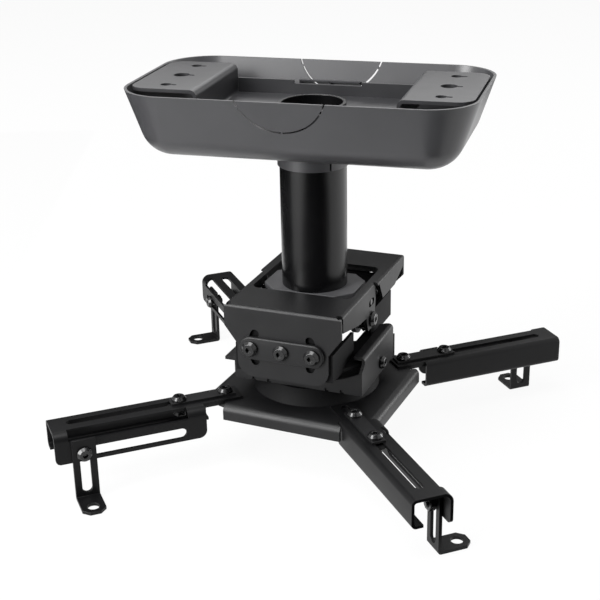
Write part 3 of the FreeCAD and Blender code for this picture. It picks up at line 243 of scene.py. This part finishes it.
def grown(name, seats, tree, values, body):
    """Runs a tree on its seats once, keeps the result as a plain mesh and lets it ride on a body."""
    points = bpy.data.meshes.new(name)
    points.from_pydata([place for place, _ in seats], [], [])
    heading = points.attributes.new("heading", "FLOAT_VECTOR", "POINT")
    heading.data.foreach_set("vector", [part for _, way in seats for part in way])
    piece = bpy.data.objects.new(name, points)
    scene.collection.objects.link(piece)
    maker = piece.modifiers.new("maker", "NODES")
    maker.node_group = tree
    for socket in tree.interface.items_tree:
        if socket.in_out == "INPUT" and socket.name in values:
            maker[socket.identifier] = values[socket.name]
    done = bpy.data.meshes.new_from_object(piece.evaluated_get(bpy.context.evaluated_depsgraph_get()))
    piece.modifiers.remove(maker)
    piece.data = done
    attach(piece, body)
    return piece


# A rolled thread: a core, one helical ridge of diamond section and a chamfered tip, on each seat.
FLOAT = "NodeSocketFloat"
thread_tree, given = new_tree("rolled_thread", {"Radius": FLOAT, "Pitch": FLOAT, "Length": FLOAT})
half = add(thread_tree, "ShaderNodeMath", {0: given["Pitch"], 1: 0.5}, operation="MULTIPLY").outputs[0]
helix_radius = add(thread_tree, "ShaderNodeMath", {
    0: given["Radius"], 1: half}, operation="SUBTRACT").outputs[0]
run = add(thread_tree, "ShaderNodeMath", {0: given["Length"], 1: half}, operation="SUBTRACT").outputs[0]
turns = add(thread_tree, "ShaderNodeMath", {0: run, 1: given["Pitch"]}, operation="DIVIDE").outputs[0]
helix = add(thread_tree, "GeometryNodeCurveSpiral", {
    "Resolution": 32, "Rotations": turns, "Start Radius": helix_radius, "End Radius": helix_radius,
    "Height": run})
upright_helix = add(thread_tree, "GeometryNodeSetCurveNormal", {
    "Curve": helix.outputs[0]}, mode="Z_UP")
diamond = add(thread_tree, "GeometryNodeCurvePrimitiveCircle", {"Resolution": 4, "Radius": half})
ridge = add(thread_tree, "GeometryNodeCurveToMesh", {
    "Curve": upright_helix.outputs[0], "Profile Curve": diamond.outputs[0], "Fill Caps": True})
core = add(thread_tree, "GeometryNodeMeshCone", {
    "Vertices": 32, "Radius Bottom": helix_radius, "Radius Top": helix_radius, "Depth": run})
tip_radius = add(thread_tree, "ShaderNodeMath", {
    0: helix_radius, 1: half}, operation="SUBTRACT").outputs[0]
tip = add(thread_tree, "GeometryNodeMeshCone", {
    "Vertices": 32, "Radius Bottom": helix_radius, "Radius Top": tip_radius, "Depth": half})
tip_height = add(thread_tree, "ShaderNodeCombineXYZ", {"Z": run})
tip_placed = add(thread_tree, "GeometryNodeTransform", {
    "Geometry": tip.outputs[0], "Translation": tip_height.outputs[0]})
tail = add(thread_tree, "GeometryNodeJoinGeometry", {
    "Geometry": [ridge.outputs[0], core.outputs[0], tip_placed.outputs[0]]})
heading = add(thread_tree, "GeometryNodeInputNamedAttribute", {
    "Name": "heading"}, data_type="FLOAT_VECTOR")
turned = add(thread_tree, "FunctionNodeAlignRotationToVector", {
    "Vector": heading.outputs[0]}, axis="Z")
tails = add(thread_tree, "GeometryNodeInstanceOnPoints", {
    "Points": given["Seats"], "Instance": tail.outputs[0], "Rotation": turned.outputs[0]})
close_tree(thread_tree, tails.outputs[0], given["Finish"])
for node, seats in thread_seats.items():
    radius, pitch, length = (size * MM for size in THREADS[node])
    grown("thread_" + node, seats, thread_tree, {
        "Radius": radius, "Pitch": pitch, "Length": length,
        "Finish": black_oxide}, BODY_OF[node])

# Behind the rear knock-out the cover has a ledge with a row of moulded ribs under it.
rib_tree, given = new_tree("moulded_ribs", {
    "Count": "NodeSocketInt", "Spacing": FLOAT, "Thickness": FLOAT, "Depth": FLOAT, "Height": FLOAT})
gaps = add(rib_tree, "ShaderNodeMath", {0: given["Count"], 1: 1.0}, operation="SUBTRACT").outputs[0]
span = add(rib_tree, "ShaderNodeMath", {0: gaps, 1: given["Spacing"]}, operation="MULTIPLY").outputs[0]
start = add(rib_tree, "ShaderNodeMath", {0: span, 1: -0.5}, operation="MULTIPLY").outputs[0]
first = add(rib_tree, "ShaderNodeCombineXYZ", {"X": start})
step = add(rib_tree, "ShaderNodeCombineXYZ", {"X": given["Spacing"]})
row = add(rib_tree, "GeometryNodeMeshLine", {
    "Count": given["Count"], "Start Location": first.outputs[0], "Offset": step.outputs[0]})
rib_size = add(rib_tree, "ShaderNodeCombineXYZ", {
    "X": given["Thickness"], "Y": given["Depth"], "Z": given["Height"]})
rib = add(rib_tree, "GeometryNodeMeshCube", {"Size": rib_size.outputs[0]})
ribs = add(rib_tree, "GeometryNodeInstanceOnPoints", {
    "Points": row.outputs[0], "Instance": rib.outputs[0]})
ledge_run = add(rib_tree, "ShaderNodeMath", {0: span, 1: given["Thickness"]}, operation="ADD").outputs[0]
ledge_size = add(rib_tree, "ShaderNodeCombineXYZ", {
    "X": ledge_run, "Y": given["Depth"], "Z": given["Thickness"]})
ledge = add(rib_tree, "GeometryNodeMeshCube", {"Size": ledge_size.outputs[0]})
rise_by = add(rib_tree, "ShaderNodeMath", {0: given["Height"], 1: 0.5}, operation="MULTIPLY").outputs[0]
ledge_height = add(rib_tree, "ShaderNodeCombineXYZ", {"Z": rise_by})
ledge_placed = add(rib_tree, "GeometryNodeTransform", {
    "Geometry": ledge.outputs[0], "Translation": ledge_height.outputs[0]})
frame_of_ribs = add(rib_tree, "GeometryNodeJoinGeometry", {
    "Geometry": [ribs.outputs[0], ledge_placed.outputs[0]]})
seated = add(rib_tree, "GeometryNodeInstanceOnPoints", {
    "Points": given["Seats"], "Instance": frame_of_ribs.outputs[0]})
close_tree(rib_tree, seated.outputs[0], given["Finish"])
RIBS_MIDDLE = (-2.5 * MM, 62.2 * MM, -19.5 * MM)
grown("knockout_ribs", [(RIBS_MIDDLE, (0, 0, 1))], rib_tree, {
    "Count": 3, "Spacing": 23.6 * MM, "Thickness": 1.2 * MM, "Depth": 3.4 * MM, "Height": 10 * MM,
    "Finish": moulded_abs}, "cover")

# Camera at the photograph's place: turned about the mount, a little above it, with a slight roll.
azimuth = math.radians(16.07)
rise = math.radians(22.27)
roll = math.radians(-1.16)
FOCAL_PX = 1275.4
PHOTO_PX = 600
CAMERA_PLACE = Vector((0.2414, -0.8805, 0.2025))
back = Vector((math.sin(azimuth) * math.cos(rise), -math.cos(azimuth) * math.cos(rise), math.sin(rise)))
level = Vector((math.cos(azimuth), math.sin(azimuth), 0))
upright = back.cross(level)
side = level * math.cos(roll) + upright * math.sin(roll)
top = upright * math.cos(roll) - level * math.sin(roll)
lens = bpy.data.cameras.new("photo_camera")
lens.sensor_fit = "HORIZONTAL"
lens.sensor_width = 36.0
lens.lens = FOCAL_PX * lens.sensor_width / PHOTO_PX
lens.clip_start = 0.05
lens.clip_end = 20
camera = bpy.data.objects.new("photo_camera", lens)
scene.collection.objects.link(camera)
camera.matrix_world = Matrix((
    (side.x, top.x, back.x, CAMERA_PLACE.x),
    (side.y, top.y, back.y, CAMERA_PLACE.y),
    (side.z, top.z, back.z, CAMERA_PLACE.z),
    (0, 0, 0, 1)))
scene.camera = camera

# Pale studio floor under the feet. It keeps a faint shadow and otherwise shows as white.
floor_mesh = bpy.data.meshes.new("studio_floor")
FLOOR_GAP = 0.5 * MM
floor_z = cad_box[0][2] - FLOOR_GAP
reach = 6.0
floor_mesh.from_pydata(
    [(-reach, -reach, floor_z), (reach, -reach, floor_z), (reach, reach, floor_z), (-reach, reach, floor_z)],
    [], [(0, 1, 2, 3)])
floor = bpy.data.objects.new("studio_floor", floor_mesh)
scene.collection.objects.link(floor)
paper, tree = new_material("white_paper_floor")
seen = seen_as_background(tree)
matt = add(tree, "ShaderNodeBsdfDiffuse", {"Color": linear("#f4f4f4")})
glow = add(tree, "ShaderNodeEmission", {"Color": (1, 1, 1, 1), "Strength": 1.0})
share = add(tree, "ShaderNodeMath", {0: seen.outputs["Value"], 1: 0.93}, operation="MULTIPLY")
mixed = add(tree, "ShaderNodeMixShader", {
    0: share.outputs["Value"], 1: matt.outputs["BSDF"], 2: glow.outputs["Emission"]})
add(tree, "ShaderNodeOutputMaterial", {"Surface": mixed.outputs["Shader"]})
floor_mesh.materials.append(paper)

# White surroundings: the camera, gloss and glass see plain white, and the object gets a soft fill.
world = bpy.data.worlds.new("studio")
scene.world = world
world.use_nodes = True
tree = world.node_tree
tree.nodes.clear()
seen = seen_as_background(tree)
plain = add(tree, "ShaderNodeBackground", {"Color": (1, 1, 1, 1), "Strength": 1.0})
fill = add(tree, "ShaderNodeBackground", {"Color": (1, 1, 1, 1), "Strength": 0.25})
mixed = add(tree, "ShaderNodeMixShader", {
    0: seen.outputs["Value"], 1: fill.outputs["Background"], 2: plain.outputs["Background"]})
add(tree, "ShaderNodeOutputWorld", {"Surface": mixed.outputs["Shader"]})

# Black cards stand around the mount, out of the camera's sight, as for any photograph of a black
# object: they keep its fronts and tops dark between the lights.
card_black, tree = new_material("matt_black_card")
felt = add(tree, "ShaderNodeBsdfDiffuse", {"Color": linear("#080808")})
add(tree, "ShaderNodeOutputMaterial", {"Surface": felt.outputs["BSDF"]})


def dark_card(name, corners):
    mesh = bpy.data.meshes.new(name)
    mesh.from_pydata(corners, [], [(0, 1, 2, 3)])
    mesh.materials.append(card_black)
    card = bpy.data.objects.new(name, mesh)
    scene.collection.objects.link(card)
    card.visible_camera = False
    card.visible_shadow = False


def softbox(name, place, aim, width, height, watts):
    light = bpy.data.lights.new(name, "AREA")
    light.shape = "RECTANGLE"
    light.size = width
    light.size_y = height
    light.energy = watts
    lamp = bpy.data.objects.new(name, light)
    scene.collection.objects.link(lamp)
    away = (Vector(place) - Vector(aim)).normalized()
    lamp.rotation_mode = "QUATERNION"
    lamp.rotation_quaternion = away.to_track_quat("Z", "Y")
    lamp.location = place
    return lamp


middle = (0, 0, -0.15)
softbox("overhead_softbox", (-0.2, -0.55, 1.5), middle, 1.4, 1.0, 30)
softbox("left_softbox", (-1.0, -1.25, 0.45), middle, 0.7, 1.5, 46)
softbox("right_softbox", (1.4, 0.75, 0.0), middle, 1.2, 0.5, 14)
softbox("back_softbox", (-0.45, 1.6, 0.72), (0, 0, 0), 1.3, 0.5, 3.5)
# Places along the line of sight (towards the camera) and across it, in metres.
towards = Vector((math.sin(azimuth), -math.cos(azimuth), 0))
across = Vector((math.cos(azimuth), math.sin(azimuth), 0))


def spot(near, right, height):
    return tuple(towards * near + across * right + Vector((0, 0, height)))


CARD_LIFT = 1 * MM
low = floor_z + CARD_LIFT
dark_card("front_card", [
    spot(0.30, -0.35, low), spot(0.30, 0.5, low), spot(1.6, 0.9, low), spot(1.6, -0.5, low)])
dark_card("camera_card", [
    spot(1.3, -0.5, low), spot(1.3, 1.1, low), spot(1.3, 1.1, 1.6), spot(1.3, -0.5, 1.6)])
dark_card("left_card", [
    spot(-1.0, -1.4, low), spot(-1.0, -0.32, low), spot(0.1, -0.32, low), spot(0.1, -1.4, low)])
dark_card("back_card", [
    spot(-0.5, -0.8, low), spot(-0.5, 0.22, low), spot(-0.5, 0.22, 0.16), spot(-0.5, -0.8, 0.16)])
dark_card("rear_right_card", [
    spot(-0.5, 0.22, -0.17), spot(-0.5, 0.55, -0.17), spot(-0.5, 0.55, 0.0), spot(-0.5, 0.22, 0.0)])
dark_card("right_card", [
    (0.09, -0.17, low), (0.12, -0.40, low), (0.42, -0.34, low), (0.27, -0.10, low)])

scene.view_settings.view_transform = "Standard"
